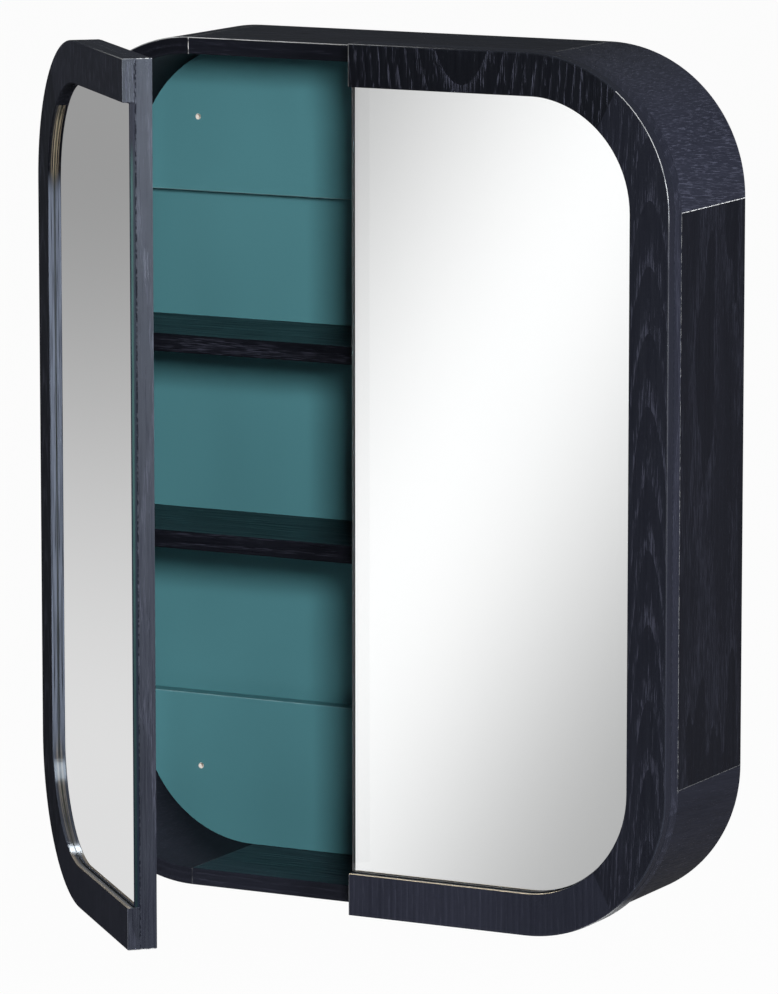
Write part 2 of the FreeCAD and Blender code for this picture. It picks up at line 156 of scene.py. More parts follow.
def oak(tree, place, along, pith, seed, tone, pores, ring_width=0.0052, sway=0.016, tilt=0.0):
    """Colour, roughness and height of stained oak.

    The pith is a leaning line, given as (place across, place in depth, lean). A point's ring is its
    distance from that line, swayed by a slow noise, over the width of a ring. Pores are a noise drawn
    out along the grain, which may be tilted, and they lie thicker in the first half of each ring.
    Brush lines lie in the same half, where a coarser drawn-out noise crosses its middle value.
    """
    axes = put(tree, "SeparateXYZ", {0: place}).outputs
    order = {"x": (1, 2, 0), "y": (2, 0, 1), "z": (0, 1, 2)}[along]
    across, depth, length = (axes[index] for index in order)
    tilted = reckon(tree, "MULTIPLY_ADD", length, tilt, across)
    turned = put(tree, "CombineXYZ", {0: tilted, 1: depth, 2: length}).outputs[0]
    shift = (seed, seed * 0.37, seed * 1.31)
    spot = put(tree, "VectorMath", {0: turned, 1: shift}, operation="ADD").outputs[0]
    cloud = noise(tree, spot, (16, 16, 3.2))
    streak = noise(tree, spot, (210, 210, 3.0), 3.0)
    fibre = noise(tree, spot, (1500, 1500, 26), 3.0)
    vessel = noise(tree, spot, (1350, 1350, 55), 2.0)
    side = reckon(tree, "SUBTRACT", across, pith[0])
    far = reckon(tree, "MULTIPLY_ADD", length, pith[2], reckon(tree, "SUBTRACT", depth, pith[1]))
    squares = reckon(tree, "ADD", times(tree, side, side), times(tree, far, far))
    waver = reckon(tree, "MULTIPLY_ADD", cloud, sway, -0.5 * sway)
    distance = reckon(tree, "ADD", reckon(tree, "SQRT", squares), waver)
    ring = reckon(tree, "FRACT", reckon(tree, "DIVIDE", distance, ring_width))
    early = rise(tree, ring, 0.62, 0.05)
    gate = reckon(tree, "MULTIPLY_ADD", early, -0.15, 0.67)
    pore = rise(tree, reckon(tree, "SUBTRACT", vessel, gate), 0.0, 0.09)
    dashes = times(tree, rise(tree, noise(tree, spot, (330, 330, 44), 1.0), 0.45, 0.6), early, 0.8)
    line = times(tree, near(tree, noise(tree, spot, (230, 230, 9), 1.0), 0.5, 0.02), dashes)
    pore = times(tree, reckon(tree, "MAXIMUM", pore, line), pores)
    slow = reckon(tree, "MULTIPLY_ADD", streak, 0.6, reckon(tree, "MULTIPLY_ADD", cloud, 0.5, -0.5))
    body = reckon(tree, "MULTIPLY_ADD", fibre, 0.7, reckon(tree, "MULTIPLY_ADD", early, 0.12, slow))
    brushed = rise(tree, noise(tree, spot, (900, 900, 16), 3.0), 0.3, 0.7)
    colour = tint(tree, body, deepened(oak_black, tone), deepened(oak_grey, tone))
    colour = tint(tree, times(tree, pore, 0.7), colour, oak_pore)
    rough = reckon(tree, "MULTIPLY_ADD", brushed, 0.22, 0.26)
    rough = reckon(tree, "MULTIPLY_ADD", pore, 0.16, rough)
    height = reckon(tree, "MULTIPLY_ADD", fibre, 0.35, reckon(tree, "MULTIPLY", pore, -1.0))
    return colour, rough, height


def end_oak(tree, colour, rough, height, gloss=0.2):
    """Join stained oak to its surface shader, with the cool sheen of its wax."""
    sockets = {
        "Base Color": colour, "Roughness": rough, "Specular IOR Level": gloss, "Specular Tint": cool_wax,
    }
    end_finish(tree, sockets, height)


def share_mix(tree, share, under, over):
    """Value that goes from under to over as the share goes from 0 to 1."""
    return put(tree, "Mix", {0: share, 2: under, 3: over}, data_type="FLOAT").outputs[0]


def dull_front(tree, rough, y, front_y):
    """Roughness of oak whose brushed and waxed front faces lose their sheen when seen on the slant."""
    face = rise(tree, y, front_y + 0.4 * arris, front_y + 0.1 * arris)
    slant = rise(tree, put(tree, "LayerWeight", {"Blend": 0.5}).outputs["Facing"], 0.2, 0.45)
    brushed = share_mix(tree, slant, reckon(tree, "MULTIPLY_ADD", rough, 0.8, 0.12), 0.8)
    return share_mix(tree, face, rough, brushed)


def outline_depth(tree, place, half_width, half_height, radius):
    """Distance from an upright rounded outline, negative inside it.

    With q the distance past the corner's centre on each axis, this is the length of the positive
    part of q, plus the larger q where both are negative, less the corner's radius.
    """
    x, _, z = put(tree, "SeparateXYZ", {0: place}).outputs
    over_x = reckon(tree, "SUBTRACT", reckon(tree, "ABSOLUTE", x), half_width - radius)
    over_z = reckon(tree, "SUBTRACT", reckon(tree, "ABSOLUTE", z), half_height - radius)
    part_x = reckon(tree, "MAXIMUM", over_x, 0.0)
    part_z = reckon(tree, "MAXIMUM", over_z, 0.0)
    squares = reckon(tree, "ADD", times(tree, part_x, part_x), times(tree, part_z, part_z))
    inner = reckon(tree, "MINIMUM", reckon(tree, "MAXIMUM", over_x, over_z), 0.0)
    reach = reckon(tree, "ADD", reckon(tree, "SQRT", squares), inner)
    return reckon(tree, "SUBTRACT", reach, radius)


def carcass_finish(name, along, pith, seed, tone, pores, inner_rough=0.0, **rings):
    """Stained oak with a broken pale line along each corner joint and each outer front arris.

    The line is wear of the stain and a painted highlight, painted stronger from the foot of the cabinet
    to its top. The inner faces are at least as rough as the inner roughness.
    """
    material, tree = start_finish(name)
    place = own_place(tree)
    x, y, z = put(tree, "SeparateXYZ", {0: place}).outputs
    colour, rough, height = oak(tree, place, along, pith, seed, tone, pores, **rings)
    # Painted highlight: the pale lines grow stronger towards the top, where the light catches them.
    higher = rise(tree, z, -carcass_half_height, carcass_half_height)
    broken = rise(tree, noise(tree, place, (230, 230, 230), 3.0), 0.28, 0.56)
    upright = near(tree, reckon(tree, "ABSOLUTE", z), corner_joint_z, joint_half)
    level = near(tree, reckon(tree, "ABSOLUTE", x), corner_joint_x, joint_half)
    joint = times(tree, reckon(tree, "MAXIMUM", upright, level), broken)
    joint = times(tree, joint, reckon(tree, "MULTIPLY_ADD", times(tree, higher, higher), 0.66, 0.08))
    depth = outline_depth(tree, place, carcass_half_width, carcass_half_height, carcass_corner_radius)
    outer = near(tree, depth, -0.3 * arris, 0.6 * arris)
    outer = times(tree, outer, reckon(tree, "MULTIPLY_ADD", higher, 0.42, 0.04))
    patchy = rise(tree, noise(tree, place, (60, 60, 60), 3.0), 0.15, 0.5)
    edge = times(tree, outer, near(tree, y, carcass_front_y + 0.3 * arris, 0.6 * arris), patchy)
    # Pale line of wear of the stain and a painted highlight, on the joints and the front arris.
    colour = tint(tree, reckon(tree, "MAXIMUM", joint, edge), colour, pale_wear_and_sheen)
    inside = reckon(tree, "LESS_THAN", depth, 0.3 * arris - board_thickness)
    rough = dull_front(tree, rough, y, carcass_front_y)
    rough = reckon(tree, "MAXIMUM", rough, times(tree, inside, inner_rough))
    end_oak(tree, colour, rough, height)
    return material


def wear(nodes, material):
    """Give CAD nodes their finish."""
    for node in nodes:
        for slot in frame["nodes"][node].material_slots:
            slot.material = material


wear(["left_side_panel"], carcass_finish("oak_left_side", "z", (0.25, -0.066, 0.02), 3.1, 0.4, 0.25))
wear(["right_side_panel"], carcass_finish("oak_right_side", "z", (-0.25, -0.066, 0.02), 8.7, 0.4, 0.25))

# Top and bottom panels
# Straight boards between the corners, veneered like the sides, with the grain from left to right.
wear(["top_panel"], carcass_finish("oak_top", "x", (-0.05, 0.30, 0.03), 5.3, 0.5, 0.35))
wear(["bottom_panel"], carcass_finish("oak_bottom", "x", (-0.08, -0.30, 0.02), 12.9, 1.1, 0.35))

# Round corners
# Quarter rounds bent from thin layers, with the grain across the bend from front to back.
# Each one butts against a side panel and against the top or bottom panel. The outer layer follows
# the bend, so it is one ring all over: open early wood above and close late wood below.
# A corner's look is its seed, tone and pores, and how many rings reach from its centre to its face.
corner_inner_rough = 0.8
# The top right corner's higher tone is partly a painted highlight, for it faces up towards the light.
corner_looks = {
    "top_left": (1.7, 0.3, 0.3, 20.22),
    "top_right": (6.1, 1.15, 0.8, 20.22),
    "bottom_left": (9.4, 0.85, 0.3, 20.7),
    "bottom_right": (14.2, 0.85, 0.3, 20.7),
}
for corner, (seed, tone, pores, ring_count) in corner_looks.items():
    pith_z = math.copysign(corner_joint_z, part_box(corner + "_corner")[0].z)
    pith_x = math.copysign(corner_joint_x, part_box(corner + "_corner")[0].x)
    finish = carcass_finish(
        "oak_" + corner, "y", (pith_z, pith_x, 0.0), seed, tone, pores, corner_inner_rough,
        ring_width=carcass_corner_radius / ring_count, sway=0.002, tilt=0.11,
    )
    wear([corner + "_corner"], finish)

# Corner dowels
# Round beech pegs, glued half in the board and half in the corner, hidden once the carcass is shut.
beech_light = chip(214, 178, 138)
beech_dark = chip(186, 146, 104)
beech_fleck = chip(140, 98, 64)


def beech_finish():
    """Fine straight grain and the short dark flecks of beech."""
    material, tree = start_finish("bare_beech")
    place = own_place(tree)
    grain = noise(tree, place, (900, 900, 120), 3.0)
    fleck = rise(tree, noise(tree, place, (1400, 1400, 260), 1.0), 0.62, 0.7)
    colour = tint(tree, grain, beech_light, beech_dark)
    colour = tint(tree, times(tree, fleck, 0.5), colour, beech_fleck)
    end_finish(tree, {"Base Color": colour, "Roughness": 0.62}, grain)
    return material


wear(["corner_dowels"], beech_finish())

# Back panel
# Thin board set into a rebate round the carcass, painted teal inside and bare towards the wall.
# The wall screw holes were bored after painting, so their walls are bare and pale.
back_front_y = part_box("back_panel")[0].y
teal = chip(74, 124, 131)
teal_deep = chip(68, 115, 122)
bare_pale = chip(240, 234, 226)
board_bare = chip(158, 126, 94)
board_dark = chip(122, 94, 68)
paint_depth = 0.0002
wall_screws = next(mount for mount in frame["record"]["mounts"] if mount["name"] == "wall_screws")
wall_hole_x = wall_screws["dims"]["spacing_x_mm"] / 2000
wall_hole_z = wall_screws["dims"]["spacing_y_mm"] / 2000
wall_hole_radius = wall_screws["dims"]["hole_r_mm"] / 1000


def teal_paint(tree, place):
    """Colour and height of rolled eggshell paint, with bare wood inside the wall screw holes.

    The paint has slow clouds and the roller's fine stipple. A point is in a hole where its distance
    from the nearest hole's axis is no more than the hole's radius.
    """
    x, _, z = put(tree, "SeparateXYZ", {0: place}).outputs
    clouds = noise(tree, place, (6, 6, 2.5))
    stipple = noise(tree, place, (420, 420, 420), 3.0)
    colour = tint(tree, rise(tree, clouds, 0.3, 0.7), teal, teal_deep)
    off_x = reckon(tree, "SUBTRACT", reckon(tree, "ABSOLUTE", x), wall_hole_x)
    off_z = reckon(tree, "SUBTRACT", reckon(tree, "ABSOLUTE", z), wall_hole_z)
    squares = reckon(tree, "ADD", times(tree, off_x, off_x), times(tree, off_z, off_z))
    bored = reckon(tree, "LESS_THAN", squares, (wall_hole_radius + paint_depth) ** 2)
    return tint(tree, bored, colour, bare_pale), stipple


def back_finish():
    """Teal paint on the front, and the bare pressed fibres of the board elsewhere."""
    material, tree = start_finish("painted_back_panel")
    place = own_place(tree)
    _, y, _ = put(tree, "SeparateXYZ", {0: place}).outputs
    paint, stipple = teal_paint(tree, place)
    fibres = noise(tree, place, (520, 520, 520), 4.0)
    bare = tint(tree, rise(tree, fibres, 0.3, 0.7), board_bare, board_dark)
    front = reckon(tree, "LESS_THAN", y, back_front_y + paint_depth)
    colour = tint(tree, front, bare, paint)
    rough = reckon(tree, "MULTIPLY_ADD", front, -0.28, 0.78)
    end_finish(tree, {"Base Color": colour, "Roughness": rough, "Specular IOR Level": 0.2}, stipple)
    return material


wear(["back_panel"], back_finish())

# Hanging rails
# Two boards glued in front of the back panel, at the top and the bottom of the inside,
# with the wall screw holes. They are painted with the back, and a paler line on their long edge
# is thin paint and a painted highlight.
pale_edge_teal = chip(150, 178, 182)


def rail_finish(pale_edges):
    """Teal paint with a paler line along each level edge, given as (depth, height)."""
    material, tree = start_finish("painted_rails")
    place = own_place(tree)
    _, y, z = put(tree, "SeparateXYZ", {0: place}).outputs
    colour, stipple = teal_paint(tree, place)
    broken = rise(tree, noise(tree, place, (60, 60, 60), 3.0), 0.3, 0.7)
    for edge_y, edge_z in pale_edges:
        at_edge = times(tree, near(tree, y, edge_y, 1.2 * arris), near(tree, z, edge_z, 1.2 * arris))
        share = times(tree, at_edge, reckon(tree, "MULTIPLY_ADD", broken, 0.25, 0.15))
        # Paler line along the edge: thin paint and a painted highlight.
        colour = tint(tree, share, colour, pale_edge_teal)
    end_finish(tree, {"Base Color": colour, "Roughness": 0.5, "Specular IOR Level": 0.2}, stipple)
    return material


upper_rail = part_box("upper_hanging_rail")
lower_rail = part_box("lower_hanging_rail")
rail_edges = [(upper_rail[0].y, upper_rail[0].z), (lower_rail[0].y, lower_rail[1].z)]
wear(["upper_hanging_rail", "lower_hanging_rail"], rail_finish(rail_edges))


# Back panel screws
# Small zinc-plated countersunk screws through the back panel into the rebate and the rails.
def plated_steel(name, light, dark, gloss):
    """Plated pressed steel: a fine rolled streak, faint cloudy handling marks and dulled patches."""
    material, tree = start_finish(name)
    place = own_place(tree)
    streak = noise(tree, place, (2400, 2400, 160), 3.0)
    clouds = noise(tree, place, (70, 70, 70), 3.0)
    colour = tint(tree, reckon(tree, "MULTIPLY_ADD", clouds, 0.7, 0.1), light, dark)
    rough = reckon(tree, "MULTIPLY_ADD", clouds, 0.16, gloss)
    rough = reckon(tree, "MULTIPLY_ADD", streak, 0.12, rough)
    end_finish(tree, {"Base Color": colour, "Metallic": 1.0, "Roughness": rough}, streak, 0.00004)
    return material


zinc = plated_steel("zinc_plate", chip(200, 203, 206), chip(168, 172, 176), 0.26)
wear(["back_panel_screws"], zinc)


# Shelves
# Two boards veneered and stained like the carcass and lacquered smooth, lying on pins.
# Each has a lipping of solid oak glued along its front edge.
def shelf_finish(name, pith, seed, tone, pores, gloss):
    """Stained oak with the grain from left to right."""
    material, tree = start_finish(name)
    colour, rough, height = oak(tree, own_place(tree), "x", pith, seed, tone, pores)
    end_oak(tree, colour, rough, height, gloss)
    return material


shelf_looks = {
    "upper_shelf": ("oak_upper_shelf", (-0.06, 0.16, 0.02), 16.3, 0.5, 0.15, 0.09),
    "lower_shelf": ("oak_lower_shelf", (-0.07, 0.02, 0.03), 18.9, 0.5, 0.15, 0.09),
    "upper_shelf_lipping": ("oak_upper_lipping", (-0.155, 0.10, 0.03), 2.2, 0.4, 0.6, 0.2),
    "lower_shelf_lipping": ("oak_lower_lipping", (-0.155, -0.05, 0.02), 7.6, 0.45, 0.6, 0.2),
}
for node, look in shelf_looks.items():
    wear([node], shelf_finish(*look))

# Shelf pins
# Nickel-plated spade pins, a round shank in the side panel and a flat spade under the shelf.
nickel = plated_steel("nickel_plate", chip(206, 203, 196), chip(176, 172, 164), 0.2)
wear(["shelf_pins"], nickel)

# Hinge mounting plates and arms
# Pressed plates screwed to the side panels, and the goose-neck arms screwed onto them.
sides = ("left_", "right_")
heights = ("upper_", "lower_")
wear([side + high + "mounting_plate" for side in sides for high in heights], nickel)
wear([side + high + "hinge_arm" for side in sides for high in heights], nickel)
wear([side + "plate_screws" for side in sides], zinc)
wear([side + "arm_screws" for side in sides], zinc)

# Hinge cups and pins
# Drawn steel cups pressed into the door backs and held by two screws, with the pin across each cup.
wear([side + high + "hinge_cup" for side in sides for high in heights], nickel)
wear([side + "hinge_pins" for side in sides], zinc)
wear([side + "cup_screws" for side in sides], zinc)

# Door backings
# Boards veneered with the same stained oak, grain upright. The left door stands open,
# so its patterns are read from where its pieces lie when it is shut.
left_swing = next(joint for joint in frame["joints"] if joint["child"] == "left_door")
left_pin = Vector(left_swing["pos_m"])
open_angle = math.radians(-left_swing["range_deg"][0])
door_front_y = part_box("right_frame_stile")[0].y
door_back_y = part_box("right_door_backing")[1].y
backing_front_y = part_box("right_door_backing")[0].y
meeting_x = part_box("right_door_backing")[0].x
door_outer_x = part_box("right_frame_stile")[1].x
door_top_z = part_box("right_frame_top_rail")[1].z
door_corner_radius = carcass_corner_radius + door_outer_x - carcass_half_width
bend_x = door_outer_x - door_corner_radius
bend_z = door_top_z - door_corner_radius
ways = {"left_": -1, "right_": 1}
backing_pith_x = 0.14
backing_seeds = {"left_": 4.4, "right_": 10.3}
# Shares of a painted reflection of the pale floor, on each door's outer edge under its lower bend.
floor_reflection_shares = {"left_": 0.0, "right_": 0.28}
glue_dark = chip(6, 7, 14)


def shut_place(tree, side):
    """Where a door's point lies when the door is shut: the left door is turned back about its pins."""
    place = own_place(tree)
    if side == "right_":
        return place
    turned_pin = Vector((
        left_pin.x * math.cos(open_angle) - left_pin.y * math.sin(open_angle),
        left_pin.x * math.sin(open_angle) + left_pin.y * math.cos(open_angle),
        left_pin.z,
    ))
    sockets = {"Vector": place, "Location": left_pin - turned_pin, "Rotation": (0, 0, open_angle)}
    return put(tree, "Mapping", sockets).outputs[0]


def door_depth(tree, place):
    """Distance from the outline of the two shut doors, negative inside it."""
    return outline_depth(tree, place, door_outer_x, door_top_z, door_corner_radius)


def outer_rim(tree, depth):
    """1 on a door's outer edge, falling to 0 across its arris."""
    return rise(tree, depth, -0.9 * arris, -0.3 * arris)


def end_corner_line(tree, x, depth):
    """1 along the sharp corner where a door's end meets the outline, for worn stain."""
    at_end = near(tree, reckon(tree, "ABSOLUTE", x), meeting_x, 0.8 * arris)
    return times(tree, at_end, near(tree, depth, 0.0, 0.8 * arris))


# A painted reflection of the pale floor, on the outer edge under a door's lower bend.
def floor_reflection_patch(tree, z, depth):
    """1 on the outer edge under a door's lower bend, fading out along the bend to either side."""
    above_foot = reckon(tree, "ADD", z, door_top_z)
    along = times(tree, rise(tree, above_foot, 0.043, 0.025), rise(tree, above_foot, 0.007, 0.015))
    return times(tree, along, outer_rim(tree, depth))


def backing_finish(side):
    """Stained oak, with a dark glue line in front, broken where the glue squeezed out."""
    material, tree = start_finish("oak_" + side + "backing")
    place = shut_place(tree, side)
    x, y, z = put(tree, "SeparateXYZ", {0: place}).outputs
    pith = (ways[side] * backing_pith_x, door_back_y - 0.03, 0.05)
    colour, rough, height = oak(tree, place, "z", pith, backing_seeds[side], 1.1, 0.5)
    depth = door_depth(tree, place)
    broken = rise(tree, noise(tree, place, (320, 320, 320), 3.0), 0.40, 0.56)
    glue = times(tree, near(tree, y, backing_front_y, 0.0018), broken)
    colour = tint(tree, times(tree, glue, 0.85), colour, glue_dark)
    back_arris = times(tree, near(tree, y, door_back_y, 0.0016), near(tree, depth, 0.0, arris))
    straight = rise(tree, reckon(tree, "ABSOLUTE", z), bend_z + 0.004, bend_z - 0.004)
    back_wear = times(tree, back_arris, straight, 0.8)
    pale_share = reckon(tree, "MAXIMUM", end_corner_line(tree, x, depth), back_wear)
    colour = tint(tree, times(tree, pale_share, broken, 0.5), colour, pale_wear_and_sheen)
    # Painted reflection of the pale floor on the outer edge under the lower bend.
    colour = tint(tree, times(tree, floor_reflection_patch(tree, z, depth), floor_reflection_shares[side]), colour, pale_wear_and_sheen)
    rough = share_mix(tree, glue, rough, 0.95)
    end_oak(tree, colour, rough, height)
    return material


for side in sides:
    wear([side + "door_backing"], backing_finish(side))

# Door frames
# Three pieces of stained oak round each mirror, joined in the round corners, all with upright grain.
# The inner edge has a painted sheen, and bare wood shows beside the glass below and in the bends.
# The outer arris has a painted highlight, and the stain has been rubbed off at the meeting ends.
mirror_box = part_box("right_mirror")
glass_room = 0.0004
glass_front_y = mirror_box[0].y
pane_half_height = mirror_box[1].z
band_width = door_outer_x - mirror_box[1].x - glass_room
rim_dark = chip(23, 24, 31)
bare_oak = chip(150, 138, 116)
# Painted sheen: the blue-grey of the inner edge where it catches the light.
painted_sheen_grey = chip(100, 107, 121)
raw_edge = chip(216, 198, 164)
# Painted shade in the gap where the glass is seated.
seat_shade = chip(38, 42, 34)
# The tones differ from piece to piece as stain does, and also stand in for the light each piece gets, as painted
# light and shade.
frame_looks = {
    "left_": {
        "seed": 20.0, "bend_wear": 0.0, "end_wear": 0.02, "raw": 0.2, "rail_pith": (-0.30, 0.06, 0.05),
        "rail_pores": 1.0, "rail_tone": 0.75, "stile_tone": 0.38, "foot_tone": 0.9,
    },
    "right_": {
        "seed": 0.0, "bend_wear": 0.4, "end_wear": 0.12, "raw": 0.5, "rail_pith": (0.109, 0.1351, 0.10),
        "rail_pores": 0.8, "rail_tone": 0.26, "stile_tone": 0.62, "foot_tone": 1.6,
    },
}


def outer_wear_and_highlight(tree, place, depth, bend_wear, end_wear):
    """Shares of pale colour and of lost gloss along a frame's outer arris and its meeting end.

    The pale line on the outer arris is a painted highlight: strongest in the upper bend, less and less
    down the stile, and a little on top beside the meeting end. At the meeting end it is wear of the stain.
    Where the arris has little painted highlight, it has no gloss.
    """
    x, y, z = put(tree, "SeparateXYZ", {0: place}).outputs
    flank = reckon(tree, "ABSOLUTE", x)
    in_bend = rise(tree, z, bend_z - 0.015, bend_z + 0.012)
    down_stile = times(tree, rise(tree, z, -bend_z, bend_z), 0.1)
    # Painted highlight on the outer arris: strong in the upper bend, fading down the stile.
    bright_bend = times(tree, reckon(tree, "MULTIPLY_ADD", in_bend, 0.8, down_stile), bend_wear)
    on_top = rise(tree, z, door_top_z - 0.021, door_top_z - 0.003)
    bright_end = times(tree, on_top, rise(tree, flank, 0.14, 0.01), 0.2)
    bright = reckon(tree, "MAXIMUM", bright_bend, bright_end)
    outer = times(tree, near(tree, depth, -0.3 * arris, 0.45 * arris), bright)
    ends = times(tree, near(tree, flank, meeting_x, arris), end_wear)
    front = near(tree, y, door_front_y + 0.3 * arris, 0.5 * arris)
    pale_share = times(tree, front, reckon(tree, "MAXIMUM", outer, ends))
    pale_share = reckon(tree, "MAXIMUM", pale_share, times(tree, end_corner_line(tree, x, depth), 0.15))
    on_arris = times(tree, near(tree, y, door_front_y, 2 * arris), near(tree, depth, 0.0, 2 * arris))
    return pale_share, times(tree, on_arris, rise(tree, bright, 0.3, 0.1))


def inner_edge_colour(tree, place, colour, grain, bare, raw):
    """Colour of the edge beside the glass.

    Below the upper bend it has a painted blue-grey sheen, fainter in the lower bend. It is streaked with bare
    oak beside the glass in the bends, left raw in front along the foot, and darkest in the line where the glass
    is seated, a painted shade.
    """
    x, y, z = put(tree, "SeparateXYZ", {0: place}).outputs
    # Painted sheen: blue-grey below the upper bend, fainter in the lower bend.
    below_bend = rise(tree, z, bend_z + 0.012, bend_z - 0.014)
    above_low_bend = rise(tree, z, -bend_z - 0.03, -bend_z + 0.01)
    fading = reckon(tree, "MULTIPLY_ADD", above_low_bend, 0.75, 0.25)
    sheen_share = times(tree, rise(tree, grain, 0.15, 0.65), below_bend, fading, bare)
    colour = tint(tree, sheen_share, colour, painted_sheen_grey)
    out_in_bend = rise(tree, reckon(tree, "ABSOLUTE", x), bend_x + 0.03, bend_x + 0.06)
    up_in_bend = rise(tree, reckon(tree, "ABSOLUTE", z), bend_z - 0.014, bend_z + 0.02)
    beside_glass = rise(tree, y, glass_front_y - 0.0045, glass_front_y - 0.0012)
    streaks = times(tree, rise(tree, grain, 0.42, 0.58), out_in_bend, up_in_bend, beside_glass, bare)
    streaks = times(tree, streaks, reckon(tree, "MULTIPLY_ADD", below_bend, -0.4, 0.75))
    colour = tint(tree, streaks, colour, bare_oak)
    foot = rise(tree, z, 0.0086 - pane_half_height, 0.0016 - pane_half_height)
    fore_half = rise(tree, y, glass_front_y - 0.002, glass_front_y - 0.004)
    colour = tint(tree, times(tree, foot, fore_half, raw), colour, raw_edge)
    # Painted shade in the gap where the glass is seated.
    seat = times(tree, near(tree, y, glass_front_y, 0.0011), bare)
    return tint(tree, times(tree, seat, 0.7), colour, seat_shade)


def frame_finish(side, name, pith, seed, tone, pores, bend_wear=0.0, bare=1.0, dusk=0.0, **rings):
    """Stained oak of a frame piece: its face, its outer arris, its glue line and its inner edge.

    Bare is how much of the inner edge has the painted sheen, the bare oak streaks and the painted
    shade of the glass seat, and how polished it is. Dusk is how far the face darkens from the meeting
    end to the bend.
    """
    look = frame_looks[side]
    material, tree = start_finish("oak_" + side + name)
    place = shut_place(tree, side)
    x, y, z = put(tree, "SeparateXYZ", {0: place}).outputs
    depth = door_depth(tree, place)
    rim = outer_rim(tree, depth)
    face_pores = reckon(tree, "MULTIPLY_ADD", rim, -0.8 * pores, pores)
    colour, rough, height = oak(tree, place, "z", pith, seed + look["seed"], tone, face_pores, **rings)
    towards_bend = rise(tree, reckon(tree, "ABSOLUTE", x), 0.06, 0.24)
    colour = tint(tree, times(tree, towards_bend, dusk), colour, oak_black)
    colour = tint(tree, times(tree, rim, 0.6), colour, rim_dark)
    pale_share, matt_arris = outer_wear_and_highlight(tree, place, depth, bend_wear, look["end_wear"])
    broken = rise(tree, noise(tree, place, (70, 70, 70), 3.0), 0.1, 0.6)
    # Painted highlight along the outer arris, and wear of the stain at the meeting ends.
    colour = tint(tree, times(tree, pale_share, broken), colour, pale_wear_and_sheen)
    # Painted reflection of the pale floor on the outer edge under the lower bend.
    colour = tint(tree, times(tree, floor_reflection_patch(tree, z, depth), floor_reflection_shares[side]), colour, pale_wear_and_sheen)
    squeezed = rise(tree, noise(tree, place, (190, 190, 190), 3.0), 0.38, 0.58)
    glue = times(tree, near(tree, y, backing_front_y, 0.0014), squeezed, 0.85)
    colour = tint(tree, glue, colour, glue_dark)
    inner = reckon(tree, "LESS_THAN", depth, 0.3 * arris - band_width)
    edge_grain = noise(tree, place, (16, 1100, 16), 2.0)
    edge_colour = inner_edge_colour(tree, place, colour, edge_grain, bare, look["raw"])
    colour = tint(tree, inner, colour, edge_colour)
    polished = reckon(tree, "MULTIPLY_ADD", edge_grain, 0.13 * bare, 0.95 - 0.84 * bare)
    rough = share_mix(tree, inner, rough, polished)
    rough = share_mix(tree, matt_arris, rough, 1.0)
    rough = share_mix(tree, glue, rough, 0.95)
    rough = dull_front(tree, rough, y, door_front_y)
    height = times(tree, height, reckon(tree, "SUBTRACT", 1.0, inner))
    end_oak(tree, colour, rough, height)
    return material


for side, way in ways.items():
    look = frame_looks[side]
    across, behind, lean = look["rail_pith"]
    top_rail = frame_finish(
        side, "top_rail", (across, door_front_y + behind, lean), 2.9, look["rail_tone"], look["rail_pores"],
        bare=0.0, ring_width=0.005, sway=0.002,
    )
    stile = frame_finish(
        side, "stile", (way * 0.288, door_front_y + 0.041, -0.05), 5.8, look["stile_tone"], 0.5,
        look["bend_wear"], ring_width=0.003, sway=0.004,
    )
    bottom_rail = frame_finish(
        side, "bottom_rail", (way * 0.36, door_front_y + 0.05, 0.03), 11.7, look["foot_tone"], 0.3, dusk=0.5
    )
    wear([side + "frame_top_rail"], top_rail)
    wear([side + "frame_stile"], stile)
    wear([side + "frame_bottom_rail"], bottom_rail)

# Mirrors
# Float glass 5 mm thick, silvered on the back, with a ground edge and a small seam along the front.
# Each pane is glued to its backing inside the frame, and runs out to the meeting edge.
# The open pane is seen on such a slant that its silver seems to lie at its face, so it is put there.
glue_room = 0.0002
seam = 0.0005
glass_back_y = mirror_box[1].y - glue_room
pane_outer_x = mirror_box[1].x
pane_inner_x = mirror_box[0].x
pane_radius = door_corner_radius - band_width - glass_room
corner_points = 40
edge_deep = chip(14, 34, 33)
edge_green = chip(38, 64, 62)
# Painted shade of the glass edge at its foot, and a painted shadow under the top rail.
edge_foot_shade = chip(11, 25, 25)
edge_rail_shadow = chip(6, 9, 20)
edge_seam = chip(10, 14, 26)


def pane_outline(inset):
    """Outline of the right pane, set in by a distance.

    Two quarter circles at the outer corners, joined by straight sides to two square corners.
    """
    turn = np.linspace(0, math.pi / 2, corner_points)
    radius = pane_radius - inset
    middle_x = pane_outer_x - pane_radius
    middle_z = pane_half_height - pane_radius
    upper = np.column_stack([middle_x + radius * np.cos(turn), middle_z + radius * np.sin(turn)])
    lower = upper[::-1] * (1, -1)
    flat_x = pane_inner_x + inset
    flat_z = pane_half_height - inset
    return np.vstack([upper, [[flat_x, flat_z], [flat_x, -flat_z]], lower])


